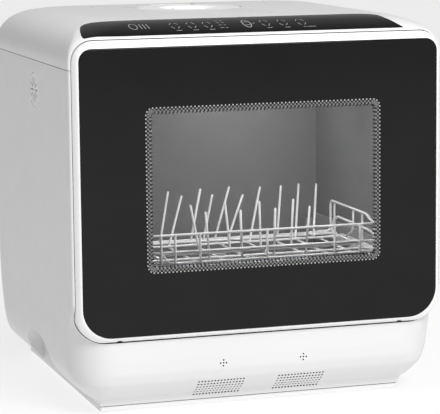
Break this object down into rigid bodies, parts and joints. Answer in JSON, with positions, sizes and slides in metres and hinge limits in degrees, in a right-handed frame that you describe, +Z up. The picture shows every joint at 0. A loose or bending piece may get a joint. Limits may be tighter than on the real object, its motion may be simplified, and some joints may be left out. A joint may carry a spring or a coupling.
{
  "type": "countertop dishwasher",
  "caption": "Compact countertop dishwasher with rounded white casing, drop-down dark glass door with window, sliding wire rack, touch strip on its sloped top edge and round water fill lid.",
  "frame": {"origin": "middle of the overall footprint, on the surface the feet stand on", "axes": "+Z up, the door faces -Y, +X to the right of someone facing the door"},
  "size_m": [0.42, 0.406, 0.422],
  "materials": {
    "white_shell": "satin",
    "cover_white": "gloss",
    "door_white": "gloss",
    "plinth_white": "fine grain",
    "vent_white": "satin",
    "lid_white": "satin",
    "foot_rubber": "matte",
    "zinc_sheet": "zinc plated",
    "panel_black": "high gloss",
    "board_green": "solder mask",
    "tank_plastic": "translucent",
    "funnel_white": "satin",
    "stainless": "brushed",
    "steel_bright": "bright",
    "seal_rubber": "matte",
    "dark_plastic": "moulded",
    "grey_plastic": "moulded",
    "arm_grey": "moulded",
    "hose_rubber": "matte",
    "motor_grey": "painted",
    "valve_blue": "moulded",
    "fitting_white": "moulded",
    "lamp_cover": "frosted",
    "rail_plastic": "moulded",
    "glass_black": "tinted, glossy",
    "pane_clear": "clear",
    "liner_grey": "satin",
    "cup_grey": "moulded",
    "magnet_dark": "moulded",
    "wire_coated": "dip coated",
    "runner_white": "moulded",
    "impeller_white": "moulded",
    "plunger_red": "moulded",
    "filter_grey": "moulded"
  },
  "bodies": {
    "cabinet": {"main_housing": "white_shell", "top_cover": "cover_white", "rear_panel": "zinc_sheet", "base_plinth": "plinth_white", "rubber_feet": "foot_rubber", "left_air_vent": "vent_white", "control_panel_glass": "panel_black", "control_board": "board_green", "fill_funnel": "funnel_white", "lid_hinge_pin": "steel_bright", "water_tank": "tank_plastic", "tub": "stainless", "tub_seal": "seal_rubber", "sump": "dark_plastic", "filter_plate": "stainless", "wash_pump_housing": "dark_plastic", "wash_pump_motor": "motor_grey", "heater_can": "steel_bright", "feed_manifold": "grey_plastic", "upper_feed_pipe": "grey_plastic", "pump_hose": "hose_rubber", "tank_hose": "hose_rubber", "drain_pump": "dark_plastic", "drain_hose": "hose_rubber", "drain_spigot": "dark_plastic", "inlet_valve": "valve_blue", "inlet_hose": "hose_rubber", "inlet_connector": "fitting_white", "cable_gland": "dark_plastic", "fan_housing": "dark_plastic", "fan_motor": "motor_grey", "air_duct": "dark_plastic", "interior_lamp": "lamp_cover", "power_board": "board_green", "hinge_brackets": "steel_bright", "catch_plate": "steel_bright", "door_switch": "dark_plastic", "rack_rails": "rail_plastic", "tub_screws": "steel_bright", "rear_panel_screws": "steel_bright"},
    "door": {"door_frame": "door_white", "door_glass": "glass_black", "door_liner": "liner_grey", "inner_window": "pane_clear", "window_gasket": "seal_rubber", "detergent_cup": "cup_grey", "door_magnet": "magnet_dark", "hinge_pins": "steel_bright"},
    "rack": {"rack_frame": "wire_coated", "rack_floor": "wire_coated", "front_tines": "wire_coated", "rear_tines": "wire_coated", "rack_runners": "runner_white"},
    "lower_arm": {"lower_spray_arm": "arm_grey"},
    "upper_arm": {"upper_spray_arm": "arm_grey"},
    "filter": {"filter_cup": "filter_grey"},
    "impeller": {"pump_impeller": "impeller_white"},
    "fan": {"fan_rotor": "dark_plastic"},
    "lid": {"fill_lid": "lid_white"},
    "plunger": {"switch_plunger": "plunger_red"}
  },
  "joints": [
    {"name": "door_hinge", "type": "hinge", "parent": "cabinet", "child": "door", "pos_m": [0, -0.195, 0.093], "axis": [1, 0, 0], "range_deg": [0, 85]},
    {"name": "rack_slide", "type": "slide", "parent": "cabinet", "child": "rack", "axis": [0, -1, 0], "range_m": [0, 0.125]},
    {"name": "plunger_slide", "type": "slide", "parent": "cabinet", "child": "plunger", "axis": [0, -1, 0], "range_m": [0, 0.003]},
    {"name": "lid_hinge", "type": "hinge", "parent": "cabinet", "child": "lid", "pos_m": [0, 0.134, 0.4163], "axis": [-1, 0, 0], "range_deg": [0, 95]},
    {"name": "filter_twist", "type": "hinge", "parent": "cabinet", "child": "filter", "pos_m": [0.09, -0.103, 0.1], "axis": [0, 0, 1], "range_deg": [0, 60]},
    {"name": "lower_arm_spin", "type": "hinge", "parent": "cabinet", "child": "lower_arm", "pos_m": [0, -0.04, 0.134], "axis": [0, 0, 1], "continuous": true},
    {"name": "upper_arm_spin", "type": "hinge", "parent": "cabinet", "child": "upper_arm", "pos_m": [0, -0.04, 0.357], "axis": [0, 0, 1], "continuous": true},
    {"name": "impeller_spin", "type": "hinge", "parent": "cabinet", "child": "impeller", "pos_m": [-0.05, -0.103, 0.074], "axis": [1, 0, 0], "continuous": true},
    {"name": "fan_spin", "type": "hinge", "parent": "cabinet", "child": "fan", "pos_m": [-0.195, -0.035, 0.342], "axis": [1, 0, 0], "continuous": true}
  ],
  "couplings": [
    {"joint": "rack_slide", "follows": "door_hinge", "m_per_rad": 0.082},
    {"joint": "plunger_slide", "follows": "door_hinge", "m_per_rad": 0.002}
  ]
}
